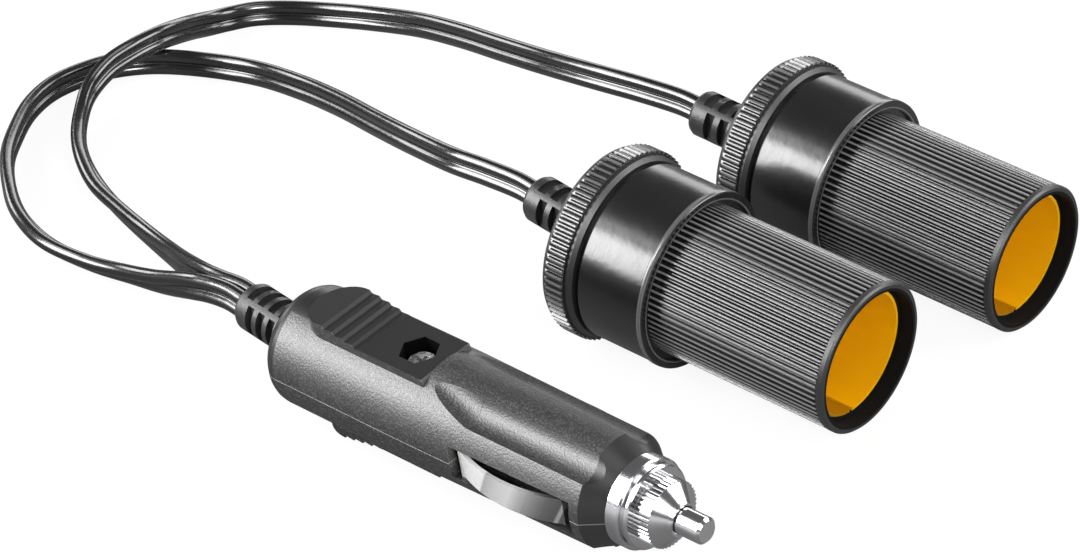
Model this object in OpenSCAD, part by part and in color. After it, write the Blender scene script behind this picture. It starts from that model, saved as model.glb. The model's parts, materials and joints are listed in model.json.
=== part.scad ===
// Car power socket splitter: a fused plug with two in-line sockets on short twin leads.
// Lengths are in millimetres and angles in degrees. Z is up and the floor is at z = 0.
// The plug points along +X. Its own frame starts at the nose seat, where the chrome ring rests on the
// shells, with the thumb pad towards +Z. Each socket's own frame starts at the middle of its mouth.

/* [Plug grip] */
// Radius of the grip from its cable end to the pad's front edge
grip_r = 10.3; // [9.9:0.1:12]
// Radius that the grip tapers to at the nose's shoulder
nose_r = 9.8; // [9.4:0.1:10.2]
// Length of the shells from the nose seat to the cable end
grip_len = 73.4; // [70:0.2:90]
// Length of the sloping shoulder at the nose
shoulder_len = 3.4; // [2:0.1:5]
// Radius of the nose seat
seat_r = 7.3; // [7:0.1:8]
// Rounding of the cable end
end_round = 3.2; // [1:0.1:4.5]
// Radius of each finger flute
flute_r = 4; // [3.5:0.1:5]
// Depth of each finger flute
flute_depth = 1.5; // [0.6:0.1:1.8]
// Length of the even stretch of a flute behind the nose seat
flute_len = 27.8; // [20:0.2:30]
// Length of the pointed run-out behind a flute
flute_runout = 11; // [8:0.2:12]
// Angle of the flutes above the parting plane
flute_angle = 56.5; // [52:0.5:60]

/* [Thumb pad] */
// Distance from the nose seat to the pad's front edge
pad_front = 39.3; // [36:0.1:42]
// Length of the pad with its round end
pad_len = 28.3; // [26:0.1:31]
// Width of the pad
pad_w = 11.2; // [9.6:0.1:12]
// Height of the smooth plate over the plug's axis
plate_h = 9.9; // [9.7:0.1:10.3]
// Depth of the grooves between the ribs
rib_depth = 0.5; // [0.3:0.05:0.8]
// Height of the thumb rest's front edge over the plug's axis
rest_h = 11.5; // [11:0.1:12]
// Fall of the thumb rest towards the cable end
rest_fall = 0.7; // [0.2:0.1:1]
// Number of cross ribs
rib_count = 5; // [3:1:7]
// Distance from rib to rib
rib_pitch = 2.15; // [1.8:0.05:2.6]
// Length of the smooth plate in front of the ribs
plate_len = 12.9; // [11.6:0.1:13.6]

/* [Shell screw] */
// Width of the hexagonal hole across its flats
hex_w = 6; // [5.8:0.1:6.6]
// Distance from the pad's front edge to the screw
screw_back = 5.6; // [4.6:0.1:6.4]
// Depth of the screw head's top under the plate
head_sink = 2.2; // [1:0.1:3]
// Radius of the screw's head
head_r = 2.3; // [2:0.1:2.6]
// Height of the screw's head
head_h = 1.5; // [1:0.1:2]
// Radius of the screw's shank
shank_r = 1.4; // [1:0.05:1.6]
// Height of the nut
nut_h = 2.2; // [1.6:0.1:2.6]
// Width of the nut across its flats
nut_w = 5.5; // [5:0.1:5.6]

/* [Side contacts] */
// Length of each side slot
slot_len = 25.6; // [24:0.2:27]
// Height of each side slot
slot_h = 6.4; // [6:0.1:7]
// Distance from the nose seat to the slot
slot_front = 5.2; // [4.4:0.1:6]
// Width of the contact strip
strip_w = 5; // [4:0.1:5.4]
// Thickness of the contact strip
strip_t = 0.6; // [0.4:0.05:0.8]
// Reach of the contact's bow from the plug's axis
bow_reach = 11; // [10.8:0.1:11.4]
// Rise of the bow over its chord
bow_rise = 2.3; // [1.8:0.1:2.8]
// Radius of the root bar that the contact swings on
root_r = 0.8; // [0.7:0.05:0.9]

/* [Nose] */
// Radius of the chrome ring
ring_r = 7.6; // [7.4:0.1:8.2]
// Radius of the thin flange in front of the ring's broad band
ring_flange_r = 7; // [6.6:0.1:7.4]
// Length of the chrome ring with its flange
ring_len = 4.2; // [3.6:0.1:5]
// Radius of the knurled band
knurl_r = 5.6; // [5.5:0.1:6.4]
// Length of the knurled band
knurl_len = 3; // [2.4:0.1:4]
// Length of the cone in front of the band
cone_len = 2.4; // [2.2:0.1:3.4]
// Radius of the cone's front lip
lip_r = 3; // [2.9:0.05:3.3]
// Number of knurls on the band
knurls = 44; // [24:1:60]
// Radius of the thread that the cap screws on
thread_r = 4.5; // [4.4:0.1:4.7]
// Radius of the centre pin
pin_r = 2.25; // [1.9:0.05:2.35]
// Length of pin in front of the cap
pin_out = 4.8; // [4:0.1:6]
// Radius of the pin's flange inside the cap
pin_flange_r = 3.2; // [2.9:0.05:3.25]

/* [Fuse] */
// Length of the fuse
fuse_len = 30; // [28:0.1:30]
// Radius of the fuse's end caps
fuse_r = 3.15; // [2.9:0.05:3.2]
// Length of each end cap
fuse_cap_len = 5.6; // [4:0.1:7]
// Radius of the bore that holds the fuse
fuse_bore_r = 3.4; // [3.35:0.05:3.6]
// Wire radius of the contact spring
spring_wire_r = 0.3; // [0.2:0.02:0.35]
// Number of turns in the contact spring
spring_turns = 6; // [4:1:7]

/* [Sockets] */
// Radius of the fluted barrel and of its mouth
barrel_r = 13.2; // [12.8:0.1:13.6]
// Length of barrel in front of the collar
barrel_len = 34.7; // [30:0.1:40]
// Number of fine ridges round the barrel
ridges = 72; // [48:4:80]
// Depth of the grooves between the ridges
ridge_depth = 0.45; // [0.2:0.05:0.6]
// Width of the plain rim at the mouth
rim_w = 1.1; // [0.6:0.1:2]
// Wall of the barrel at its mouth, in front of the sleeve
mouth_wall = 1.4; // [1.2:0.05:1.6]
// Depth of the mouth in front of the sleeve
mouth_depth = 2.6; // [1.5:0.1:4]
// Wall of the barrel round the contact sleeve
barrel_wall = 2.05; // [1.9:0.05:2.3]
// Thickness of the contact sleeve
sleeve_t = 0.5; // [0.3:0.05:0.5]
// Room behind the sleeve for the centre contact and its nut
rear_room = 5.3; // [5.1:0.1:7]
// Wall of the collar round the barrel
collar_wall = 2.35; // [2:0.05:3]
// Length of the collar
collar_len = 13.6; // [12:0.1:15]
// Rise of the bead round the collar's front edge
bead_rise = 0.2; // [0.1:0.05:0.5]
// Rise of the rear cap's knurled band over the collar
cap_rise = 1.45; // [1:0.05:2]
// Width of the rear cap's knurled band
cap_w = 4.7; // [4:0.1:5.4]
// Step down from the band to the smooth lip in front of it
lip_step = 0.7; // [0.3:0.1:1]
// Number of knurls round the cap
cap_knurls = 78; // [48:2:90]

/* [Strain reliefs] */
// Length of the plug's strain relief outside the shells
plug_boot_len = 14.8; // [12:0.2:17]
// Length of each socket's strain relief outside its cap
socket_boot_len = 15.8; // [12:0.2:17]
// Radius of each strain relief
boot_r = 4.2; // [4:0.1:4.6]
// Radius of the core under the pockets
boot_core_r = 3; // [2.8:0.1:3.2]
// Number of pockets in a row
boot_pockets = 4; // [3:1:4]
// Width of the leads, across both cores
lead_w = 5; // [4.6:0.1:5.2]

/* [Layout] */
// Where the nose seat lies along X
plug_x = 36.7; // [35:0.1:38]
// Where the plug lies along Y
plug_y = -51.8; // [-54:0.1:-50]
// Roll of the plug towards the viewer
plug_roll = 12; // [0:1:20]
// Where the near socket's mouth lies along X
near_x = 35; // [32:0.1:38]
// Where the near socket's mouth lies along Y
near_y = 5.5; // [3:0.1:8]
// Where the far socket's mouth lies along X
far_x = 32.8; // [29:0.1:36]
// Where the far socket's mouth lies along Y
far_y = 51; // [49:0.1:54]
// Turn of both sockets away from the plug's direction
socket_yaw = 4.1; // [0:0.1:8]
// Lean of the plug's strain relief towards the sockets
plug_lean = 8; // [0:0.5:10]
// Lean of the near socket's strain relief
near_lean = 8; // [0:0.5:10]
// Lean of the far socket's strain relief
far_lean = 2; // [0:0.5:10]

/* [Hidden] */
$fn = 96;

// Clearances: a push fit, a running fit, and an overrun past what a cut removes
push_gap = 0.05;
run_gap = 0.1;
over = 1;

// Colours of the real pieces
moulding = [0.09, 0.09, 0.095];
rubber = [0.07, 0.07, 0.075];
chrome = [0.8, 0.8, 0.82];
steel = [0.75, 0.75, 0.77];
brass = [0.8, 0.65, 0.3];
amber = [0.9, 0.58, 0.05];
glass = [0.85, 0.9, 0.9, 0.4];
fibre = [0.35, 0.2, 0.1];

// Sizes that follow from the grip's
pad_end_r = pad_w / 2;
pad_floor = grip_r * cos(asin(pad_end_r / grip_r)) - over;
pad_slope = 0.9;
screw_x = pad_front + screw_back;
first_rib_share = 0.2;
flute_centre = nose_r - flute_depth + flute_r;
taper = atan((grip_r - nose_r) / (pad_front - shoulder_len));
runout_swing = 11;
runout_rise = flute_depth + 0.2;
runout_lap = 0.6;

// Sizes inside the plug
slot_rear = slot_front + slot_len;
pocket_wall = 1.8;
root_inset = 1.2;
toe_inset = 2;
pocket_floor = fuse_bore_r + pocket_wall;
root_x = slot_rear - root_inset;
bow_front = slot_front + toe_inset;
bow_chord = (root_x - bow_front) / 2;
bow_r = (bow_chord * bow_chord + bow_rise * bow_rise) / (2 * bow_rise);
bow_mid = (root_x + bow_front) / 2;
bow_edge = bow_reach - bow_rise;
root_y = bow_edge - root_r;
root_grip = 0.9;
root_reach = slot_h / 2 + root_grip;
toe_len = 1.9;
cap_face = 1.6;
lip_edge = 0.2;
thread_gap = 0.2;
pin_gap = 0.2;
cap_front = ring_len + knurl_len + cone_len;
thread_len = ring_len + knurl_len - thread_gap;
cap_shoulder = cap_front - cap_face;
flange_len = 1.5;
fuse_front = cap_shoulder - push_gap - flange_len - push_gap;
fuse_back = fuse_front - fuse_len;
terminal_r = fuse_bore_r - run_gap;
terminal_t = 1.2;
terminal_back = 0.4;
terminal_x = -slot_rear - terminal_back;
bore_end = terminal_x - terminal_t - push_gap;
spring_len = fuse_back - terminal_x - 2 * push_gap;
chamber_wall = 3.6;
chamber_len = 1.2;
chamber_front = -slot_rear - chamber_wall;
chamber_back = -pad_front - chamber_len;
chamber_z = 3;
leg_t = 0.6;
leg_h = 4;
leg_way = leg_t + 2 * run_gap;
chamber_y = root_y + leg_t;
leg_gap = 0.3;
tail_w = 3;
tail_t = 0.6;
wire_duct = 2.2;
duct_y = 5.4;
gland_room = 12;
gland_front = -pad_front - gland_room;
gland_r = 7;
gland_wall = 3.4;
anchor_t = 2;
neck_step = 0.5;
neck_r = boot_r - neck_step;
neck_len = 1.6;
neck_gap = 0.7;
flange_rise = 2;

// Sizes of the sockets, which all follow from the barrel's
collar_back = barrel_len + collar_len;
collar_seat = 2.4;
barrel_back = collar_back - collar_seat;
mouth_r = barrel_r - mouth_wall;
sleeve_out = barrel_r - barrel_wall - push_gap;
sleeve_r = sleeve_out - sleeve_t;
sleeve_end = collar_back - rear_room;
sleeve_len = sleeve_end - mouth_depth;
seam = 0.6;
collar_r = barrel_r + collar_wall;
bead_r = collar_r + bead_rise;
bead_w = 1.3;
recess_w = 1;
groove_w = 1.1;
lip_w = 1.3;
cap_r = collar_r + cap_rise;
cap_lip_r = cap_r - lip_step;
cap_round = 1.8;
cap_front_x = collar_back + groove_w + lip_w;
cap_tail = 0.4;
cap_back_x = cap_front_x + cap_w + cap_tail;
cap_wall = 1.8;
seat_step = 1.3;
spigot_wall = 1.1;
groove_step = 1.6;
collar_bore = barrel_r - seat_step;
spigot_r = collar_bore + spigot_wall;
cap_neck_r = spigot_r + groove_step;
insulator_t = 1.9;
stud_head_r = 3;
stud_head_h = 0.9;
stud_r = 1.3;
stud_tail = 0.3;
washer_t = 0.4;
washer_rise = 0.2;
tag_t = 0.5;
socket_nut_h = 1.3;
socket_nut_w = 4.6;
socket_tilt = asin((cap_r - barrel_r) / cap_front_x);

// The plug lies with the lower pad's edge on the floor
pad_low = rest_h * cos(plug_roll) + pad_end_r * sin(plug_roll);
plug_z = pad_low;

// Leads: two round cores side by side, standing on edge
core_r = lead_w / 4;
lead_side = core_r + 0.1;

// Routes of the leads, from strain relief to strain relief: x, y, z, and the angle by which the lead's
// width leans away from upright
near_route = [[-61.5, -50, 11.7, -4], [-67, -49.5, 10.2, -10], [-77, -47.5, 6.5, -30],
    [-87, -46, 3.8, -44], [-97, -46, 2.3, -50], [-108, -46, 2.1, -50], [-118.5, -43, 2.4, -32],
    [-128, -37.5, 2.6, -10], [-137.5, -30, 2.6, 0], [-144.5, -22, 2.6, 0], [-150.5, -13.5, 2.6, 0],
    [-154, -5, 2.6, 0], [-154.5, 3, 2.6, 0], [-153, 10, 2.6, 0], [-148.5, 16.5, 2.6, 0],
    [-140.5, 22, 2.6, 0], [-129.5, 24.5, 3.6, 0], [-115.5, 22.5, 6, 0], [-100, 17.5, 9.5, 0],
    [-84.5, 11.5, 13, 0], [-71, 6.5, 16, 0], [-57.5, 3, 18.2, 0], [-49, 2.8, 18.8, 0]];
far_route = [[-61.5, -47.2, 11.7, -2], [-67, -45.8, 10.5, -5], [-77, -41.5, 7.5, -10],
    [-86.5, -36.8, 4.7, -18], [-96.5, -32.8, 3, -26], [-107, -29.4, 2.4, -34], [-117, -26, 2.3, -42],
    [-126, -21.5, 2.5, -28], [-134, -16, 2.6, -10], [-140, -10.2, 3.4, 0], [-144.3, -4.3, 5.1, 0],
    [-146.3, 2.3, 7, 0], [-146.6, 9, 8.1, 0], [-147.3, 16, 8.1, 0], [-149.2, 22.8, 6.7, 0],
    [-151.5, 28.5, 4.9, 0], [-153, 34, 3.3, 0], [-153, 39, 2.6, 0], [-151, 44, 2.6, 0],
    [-146.7, 48.7, 2.6, 0], [-139.8, 52.3, 3.2, 0], [-130, 54.5, 4.8, 0], [-117, 54.5, 7.6, 0],
    [-103.5, 52, 10.6, 0], [-89.5, 48.5, 13.6, 0], [-75.5, 45.5, 16.4, 0], [-62, 44.4, 18.3, 0],
    [-52, 45.2, 18.9, 0]];

// Point on a smooth curve from b to c, with a and d beyond them (Catmull-Rom)
function bend(a, b, c, d, t) = 0.5 * (2 * b + (c - a) * t + (2 * a - 5 * b + 4 * c - d) * t * t
    + (3 * b - a - 3 * c + d) * t * t * t);
function unit(v) = v / norm(v);
// Two points for each stretch of a route, with its ends kept
function smooth_route(p) = concat([p[0]],
    [for (i = [0:len(p) - 2], t = [0.5, 1])
        bend(p[max(i - 1, 0)], p[i], p[i + 1], p[min(i + 2, len(p) - 1)], t)]);
function place(q) = [q[0], q[1], q[2]];
function heading(p, i) = unit(place(p[min(i + 1, len(p) - 1)]) - place(p[max(i - 1, 0)]));

// Outline of a twin lead seen from its end, as [side, up] pairs: a figure of eight of twelve points
lead_waist = core_r * 0.45;
function twin_points() = concat(
    [for (a = [-30:30:210]) if (a > -30 && a < 210) [core_r * cos(a), core_r + core_r * sin(a)]],
    [[-lead_waist, 0]],
    [for (a = [180:30:360]) [core_r * cos(a), -core_r + core_r * sin(a)]],
    [[lead_waist, 0]]);

// Sweeps a twin lead along a route
module lead(p) {
    shape = twin_points();
    n = len(shape);
    rings = [for (i = [0:len(p) - 1])
        let (f = heading(p, i), a = p[i][3], s = unit(cross(f, [0, 0, 1])), u = cross(s, f),
            wide = u * cos(a) + s * sin(a), thick = s * cos(a) - u * sin(a))
        for (q = shape) place(p[i]) + thick * q[0] + wide * q[1]];
    last = len(p) - 1;
    walls = [for (i = [0:last - 1], j = [0:n - 1])
        [i * n + j, i * n + (j + 1) % n, (i + 1) * n + (j + 1) % n, (i + 1) * n + j]];
    polyhedron(rings, concat(walls, [[for (j = [n - 1:-1:0]) j]], [[for (j = [0:n - 1]) last * n + j]]),
        convexity = 8);
}

// Middle line of a helix of round wire along X, from x = 0 to x = long
coil_steps = 14;
function coil_line(r, wire, long, turns) = [for (i = [0:turns * coil_steps])
    let (a = i * 360 / coil_steps)
    [wire + (long - 2 * wire) * i / (turns * coil_steps), r * cos(a), r * sin(a)]];
module coil(r, wire, long, turns) {
    sides = 6;
    line = coil_line(r, wire, long, turns);
    rings = [for (p = line)
        let (c = [0, p[1], p[2]] / r)
        for (j = [0:sides - 1])
            let (b = j * 360 / sides)
            p + [wire * sin(b), 0, 0] + c * wire * cos(b)];
    last = turns * coil_steps;
    walls = [for (i = [0:last - 1], j = [0:sides - 1])
        [i * sides + j, (i + 1) * sides + j, (i + 1) * sides + (j + 1) % sides, i * sides + (j + 1) % sides]];
    polyhedron(rings, concat(walls, [[for (j = [0:sides - 1]) j]],
        [[for (j = [sides - 1:-1:0]) last * sides + j]]), convexity = 8);
}

// Cylinder along X, from x = a to x = b
module rod(r, a, b) {
    translate([min(a, b), 0, 0]) rotate([0, 90, 0]) cylinder(r = r, h = abs(b - a));
}

// Turned shape round X from [x, radius] pairs
module turned(pairs) {
    rotate([0, 90, 0]) rotate([0, 0, 90]) rotate_extrude() polygon([for (p = pairs) [p[1], p[0]]]);
}

// Round bar with straight knurls, along X from x = a to x = b
module knurled(r, depth, count, a, b) {
    step = 360 / count;
    share = [0, 0.3, 0.5, 0.8];
    points = [for (i = [0:count - 1], k = [0:3])
        let (q = k == 0 || k == 1 ? r : r - depth, w = (i + share[k]) * step)
        [q * cos(w), q * sin(w)]];
    translate([min(a, b), 0, 0]) rotate([0, 90, 0]) linear_extrude(abs(b - a)) polygon(points);
}

module plug_place() {
    translate([plug_x, plug_y, plug_z]) rotate([plug_roll, 0, 0]) children();
}

module socket_place(x, y) {
    translate([x, y, barrel_r * cos(socket_tilt)]) rotate([0, 0, socket_yaw]) rotate([0, socket_tilt, 0])
        children();
}

// Grip before it is split: a turned body with a rounded cable end and a sloping nose shoulder
module grip_body() {
    end = [for (a = [0:15:90]) [-grip_len + end_round * (1 - cos(a)), grip_r - end_round * (1 - sin(a))]];
    turned(concat([[-grip_len, 0]], end,
        [[-pad_front, grip_r], [-shoulder_len, nose_r], [0, seat_r], [0, 0]]));
    rod(thread_r, -over, thread_len);
}

// Plan of the pad seen from above
module pad_plan() {
    long = pad_len - pad_end_r;
    translate([-pad_front - long, -pad_end_r]) square([long + pad_slope, pad_w]);
    translate([-pad_front - long, 0]) circle(r = pad_end_r);
}

// Raised pad: smooth plate with a sloping front edge, cross ribs with steep fronts that climb from the
// plate to the rest, and a thumb rest that falls to the rear
module pad() {
    ribs_front = -pad_front - plate_len;
    rest_front = ribs_front - (rib_count - 1) * rib_pitch;
    rear = -pad_front - pad_len - over;
    crest_w = rib_pitch * 0.2;
    climb = (rest_h - plate_h) / (rib_count - 1 + first_rib_share);
    ribs = [for (i = [0:rib_count - 2], k = [0:3])
        let (x = ribs_front - i * rib_pitch, crest = plate_h + climb * (i + first_rib_share))
        k == 0 ? [x, max(plate_h, crest - rib_depth)]
        : k == 1 ? [x - crest_w, crest]
        : k == 2 ? [x - 2 * crest_w, crest]
        : [x - rib_pitch * 0.8, max(plate_h, crest + climb - rib_depth)]];
    profile = concat([[rear, pad_floor], [-pad_front + pad_slope, pad_floor], [-pad_front, plate_h]], ribs,
        [[rest_front, rest_h - rib_depth], [rest_front - crest_w, rest_h], [rear, rest_h - rest_fall]]);
    intersection() {
        linear_extrude(rest_h + over) pad_plan();
        translate([0, pad_end_r + over, 0]) rotate([90, 0, 0]) linear_extrude(pad_w + 2 * over) polygon(profile);
    }
}

// Cut that flattens the grip's crown where the smooth plate and ribs lie
module plate_cut() {
    long = plate_len + (rib_count - 1) * rib_pitch;
    translate([-pad_front - long, -pad_end_r, plate_h]) cube([long, pad_w, over + grip_r - plate_h]);
}

// One finger flute, whose pointed run-out curves up to the grip's surface and swings towards the pad;
// side is 1 or -1
module flute(side) {
    long = flute_runout + runout_lap;
    tail = [for (i = [0:6]) let (t = i / 6)
        [runout_lap - long * t, flute_r - runout_rise * (t + 2 * t * t) / 3]];
    rotate([side * (90 - flute_angle), 0, 0]) translate([0, 0, flute_centre]) rotate([0, taper, 0]) {
        rod(flute_r, -flute_len, over);
        translate([-flute_len, 0, 0]) rotate([0, 0, -side * runout_swing])
            turned(concat([[runout_lap, 0]], tail, [[-flute_runout, 0]]));
    }
}

// Hexagonal prism along Z, w across its flats, corners along X
module hexagon(w, h) {
    cylinder(r = w / sqrt(3), h = h, $fn = 6);
}

head_top = plate_h - head_sink;
pocket_bottom = head_top - head_h - push_gap;
nut_floor = head_top - nut_h - push_gap;

// Everything hollow inside the plug
module hollows() {
    rod(fuse_bore_r, bore_end, thread_len + over);
    for (s = [1, -1]) {
        // side slot, and the seat of the contact's root bar
        translate([-slot_rear, s > 0 ? pocket_floor : -pocket_floor - grip_r, -slot_h / 2])
            cube([slot_len, grip_r, slot_h]);
        translate([-root_x, s * root_y, -root_reach - push_gap])
            cylinder(r = root_r + push_gap, h = 2 * (root_reach + push_gap));
        // way of the ground strip's leg
        translate([chamber_front - over, s * root_y - leg_way / 2, -leg_h / 2 - run_gap])
            cube([-slot_rear - chamber_front + 2 * over, leg_way, leg_h + 2 * run_gap]);
        // wire duct past the screw
        translate([gland_front - over, s * duct_y - wire_duct / 2, -wire_duct / 2])
            cube([chamber_back - gland_front + 2 * over, wire_duct, wire_duct]);
    }
    translate([chamber_back, -chamber_y, -chamber_z])
        cube([chamber_front - chamber_back, 2 * chamber_y, 2 * chamber_z]);
    translate([chamber_front - over, -tail_w / 2 - run_gap, -tail_t / 2 - run_gap])
        cube([bore_end - chamber_front + 2 * over, tail_w + 2 * run_gap, tail_t + 2 * run_gap]);
    rod(gland_r, -grip_len + gland_wall, gland_front);
    rod(neck_r + push_gap, -grip_len - over, -grip_len + gland_wall + over);
    translate([-screw_x, 0, -plate_h]) cylinder(r = shank_r + push_gap, h = 2 * plate_h);
}

// The two halves are the same moulding; the upper one holds the screw's head and the lower one its nut
module half_shell(well) {
    difference() {
        union() {
            intersection() {
                difference() {
                    grip_body();
                    plate_cut();
                }
                translate([-grip_len - over, -grip_r - over, 0])
                    cube([grip_len + thread_len + 2 * over, 2 * (grip_r + over), grip_r + over]);
            }
            pad();
        }
        hollows();
        flute(1);
        flute(-1);
        translate([-screw_x, 0, well]) hexagon(hex_w, grip_r);
    }
}

module plug_upper_shell() {
    color(moulding) plug_place() half_shell(pocket_bottom);
}

module plug_lower_shell() {
    color(moulding) plug_place() rotate([180, 0, 0]) half_shell(nut_floor);
}

module shell_screw() {
    recess = head_r * 0.55;
    slot_w = head_r * 0.28;
    color(steel) plug_place() translate([-screw_x, 0, 0]) difference() {
        union() {
            translate([0, 0, head_top - head_h]) cylinder(r = head_r, h = head_h);
            translate([0, 0, -head_top]) cylinder(r = shank_r, h = 2 * head_top - head_h);
        }
        for (a = [0, 90])
            translate([0, 0, head_top]) rotate([0, 0, a])
                cube([2 * recess, slot_w, head_h], center = true);
    }
}

module shell_nut() {
    color(steel) plug_place() translate([-screw_x, 0, -head_top]) difference() {
        hexagon(nut_w, nut_h);
        translate([0, 0, -over]) cylinder(r = shank_r + push_gap, h = nut_h + 2 * over);
    }
}

// Chrome ring: a broad band, a groove and a thin flange
module nose_ring() {
    band = ring_len * 0.66;
    edge = ring_len * 0.06;
    groove_r = ring_flange_r - 2 * edge;
    flange_back = ring_len * 0.78;
    color(chrome) plug_place() difference() {
        turned([[push_gap, 0], [push_gap, ring_r - edge], [push_gap + edge, ring_r], [band - edge, ring_r],
            [band, ring_r - edge], [band, groove_r], [flange_back, groove_r], [flange_back, ring_flange_r - edge],
            [flange_back + edge, ring_flange_r], [ring_len - push_gap - edge, ring_flange_r],
            [ring_len - push_gap, ring_flange_r - edge], [ring_len - push_gap, 0]]);
        rod(thread_r + run_gap, -over, ring_len + over);
    }
}

// Knurled cap with a cone, which holds the pin's flange
module nose_cap() {
    depth = knurl_r * 0.035;
    color(chrome) plug_place() difference() {
        union() {
            knurled(knurl_r, depth, knurls, ring_len, ring_len + knurl_len);
            turned([[ring_len + knurl_len - over, 0], [ring_len + knurl_len - over, knurl_r - 2 * depth],
                [ring_len + knurl_len, knurl_r - depth], [cap_front - 2 * lip_edge, lip_r + lip_edge],
                [cap_front, lip_r - lip_edge], [cap_front, 0]]);
        }
        rod(thread_r + run_gap, ring_len - over, thread_len + run_gap);
        rod(pin_flange_r + run_gap, 0, cap_shoulder);
        rod(pin_r + pin_gap, 0, cap_front + over);
    }
}

module centre_pin() {
    bevel = pin_r * 0.2;
    back = cap_shoulder - push_gap - flange_len;
    color(chrome) plug_place() turned([[back, 0], [back, pin_flange_r], [back + flange_len, pin_flange_r],
        [back + flange_len, pin_r], [cap_front + pin_out - bevel, pin_r], [cap_front + pin_out, pin_r - bevel],
        [cap_front + pin_out, 0]]);
}

fuse_wall = fuse_r * 0.1;
module fuse_glass() {
    inset = fuse_wall + push_gap;
    color(glass) plug_place() difference() {
        rod(fuse_r - inset, fuse_back + inset, fuse_front - inset);
        rod(fuse_r - 3 * inset, fuse_back - over, fuse_front + over);
    }
}

module fuse_caps() {
    color(chrome) plug_place() {
        for (m = [0, 1])
            translate([m * (fuse_front + fuse_back), 0, 0]) mirror([m, 0, 0]) difference() {
                rod(fuse_r, fuse_front - fuse_cap_len, fuse_front);
                rod(fuse_r - fuse_wall, fuse_front - fuse_cap_len - over, fuse_front - fuse_wall);
            }
    }
}

spring_r = fuse_bore_r - 2 * spring_wire_r - 2 * run_gap;
spring_line = coil_line(spring_r, spring_wire_r, spring_len, spring_turns);
spring_gap = min([for (i = [0:len(spring_line) - 8], j = [i + 7:len(spring_line) - 1])
    norm(spring_line[i] - spring_line[j])]) - 2 * spring_wire_r;
echo("least gap between the spring's turns", spring_gap);
module contact_spring() {
    color(steel) plug_place() translate([terminal_x + push_gap, 0, 0])
        coil(spring_r, spring_wire_r, spring_len, spring_turns);
}

module plug_terminal() {
    color(brass) plug_place() {
        rod(terminal_r, terminal_x - terminal_t, terminal_x);
        difference() {
            translate([chamber_back + run_gap, -tail_w / 2, -tail_t / 2])
                cube([terminal_x - terminal_t / 2 - chamber_back - run_gap, tail_w, tail_t]);
            translate([chamber_back + tail_w / 2, 0, -over]) cylinder(r = tail_w / 5, h = 2 * over);
        }
    }
}

// Bowed strip on a root bar, for the side towards -Y
module side_contact() {
    span = asin(bow_chord / bow_r);
    difference() {
        union() {
            // bow: an arc whose chord joins the root and the front bend
            translate([-bow_mid, -bow_reach + bow_r, -strip_w / 2]) intersection() {
                difference() {
                    cylinder(r = bow_r, h = strip_w, $fn = 180);
                    translate([0, 0, -over]) cylinder(r = bow_r - strip_t, h = strip_w + 2 * over, $fn = 180);
                }
                translate([-bow_chord, -bow_r - over, 0]) cube([2 * bow_chord, bow_rise + strip_t + over, strip_w]);
            }
            // front toe, bent inwards
            translate([-bow_front - strip_t, -bow_edge - strip_t * 0.4, -strip_w / 2])
                cube([strip_t, toe_len + strip_t * 0.4, strip_w]);
            // heel between the bow and the root bar
            translate([-root_x, -root_y, -strip_w / 2]) cylinder(r = root_r, h = strip_w);
        }
    }
    translate([-root_x, -root_y, -root_reach]) cylinder(r = root_r, h = 2 * root_reach);
}

module contact_right() {
    color(steel) plug_place() side_contact();
}

module contact_left() {
    color(steel) plug_place() mirror([0, 1, 0]) side_contact();
}

// U-shaped strip behind the fuse; its legs reach the two root bars
module ground_strip() {
    back = chamber_front - leg_t;
    tip = -root_x - root_r - leg_gap;
    color(brass) plug_place() {
        for (s = [1, -1])
            translate([back, s * root_y - leg_t / 2, -leg_h / 2]) cube([tip - back, leg_t, leg_h]);
        for (s = [1, -1])
            translate([back - leg_t, s > 0 ? tail_w / 2 + 2 * run_gap : -root_y - leg_t / 2, -leg_h / 2])
                cube([leg_t * 1.5, root_y + leg_t / 2 - tail_w / 2 - 2 * run_gap, leg_h]);
        translate([back - leg_t, -root_y, tail_t / 2 + 2 * run_gap]) cube([leg_t, 2 * root_y, leg_h / 2 - tail_t]);
    }
}

// Strain relief along -X from x = 0: a flange and neck in the housing, and outside it a leaning body with
// four rows of pockets that alternate round it
module boot(anchor_r, inside, lean, long) {
    tip = boot_r * 0.22;
    pitch = long / (boot_pockets + 1.1);
    pocket = pitch * 0.6;
    rod(anchor_r, inside, inside + anchor_t);
    rod(neck_r, -neck_len, inside + anchor_t / 2);
    rotate([0, 0, -lean]) difference() {
        turned([[-long, 0], [-long, boot_r - tip], [-long + tip * 0.4, boot_r - tip * 0.3],
            [-long + tip, boot_r], [-neck_gap, boot_r], [-neck_gap, 0]]);
        for (q = [0:3], i = [0:boot_pockets - 1])
            rotate([q * 90, 0, 0])
                translate([-long + pitch * (0.75 + i + 0.5 * (q % 2)), -boot_r * 0.62, boot_core_r])
                    cube([pocket, boot_r * 1.24, boot_r]);
    }
}

module plug_boot() {
    color(rubber) plug_place() translate([-grip_len, 0, 0])
        rotate([-plug_roll, 0, 0]) boot(gland_r - 2 * run_gap, gland_wall + push_gap, plug_lean, plug_boot_len);
}

// Fluted tube with a plain rim at the mouth; its plain rear end sits in the collar
module barrel() {
    crest_r = barrel_r - push_gap;
    root_radius = crest_r - ridge_depth - 2 * push_gap;
    plain = -barrel_len - recess_w;
    difference() {
        union() {
            knurled(crest_r, ridge_depth, ridges, plain - rim_w / 2, -rim_w / 2);
            turned([[-barrel_back, 0], [-barrel_back, barrel_r], [plain, barrel_r], [plain, root_radius],
                [-rim_w, root_radius], [-rim_w, barrel_r], [-rim_w * 0.3, barrel_r], [0, barrel_r - rim_w * 0.3],
                [0, 0]]);
        }
        rod(mouth_r, -mouth_depth, over);
        rod(sleeve_out + push_gap, -barrel_back - over, 0);
    }
}

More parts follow.
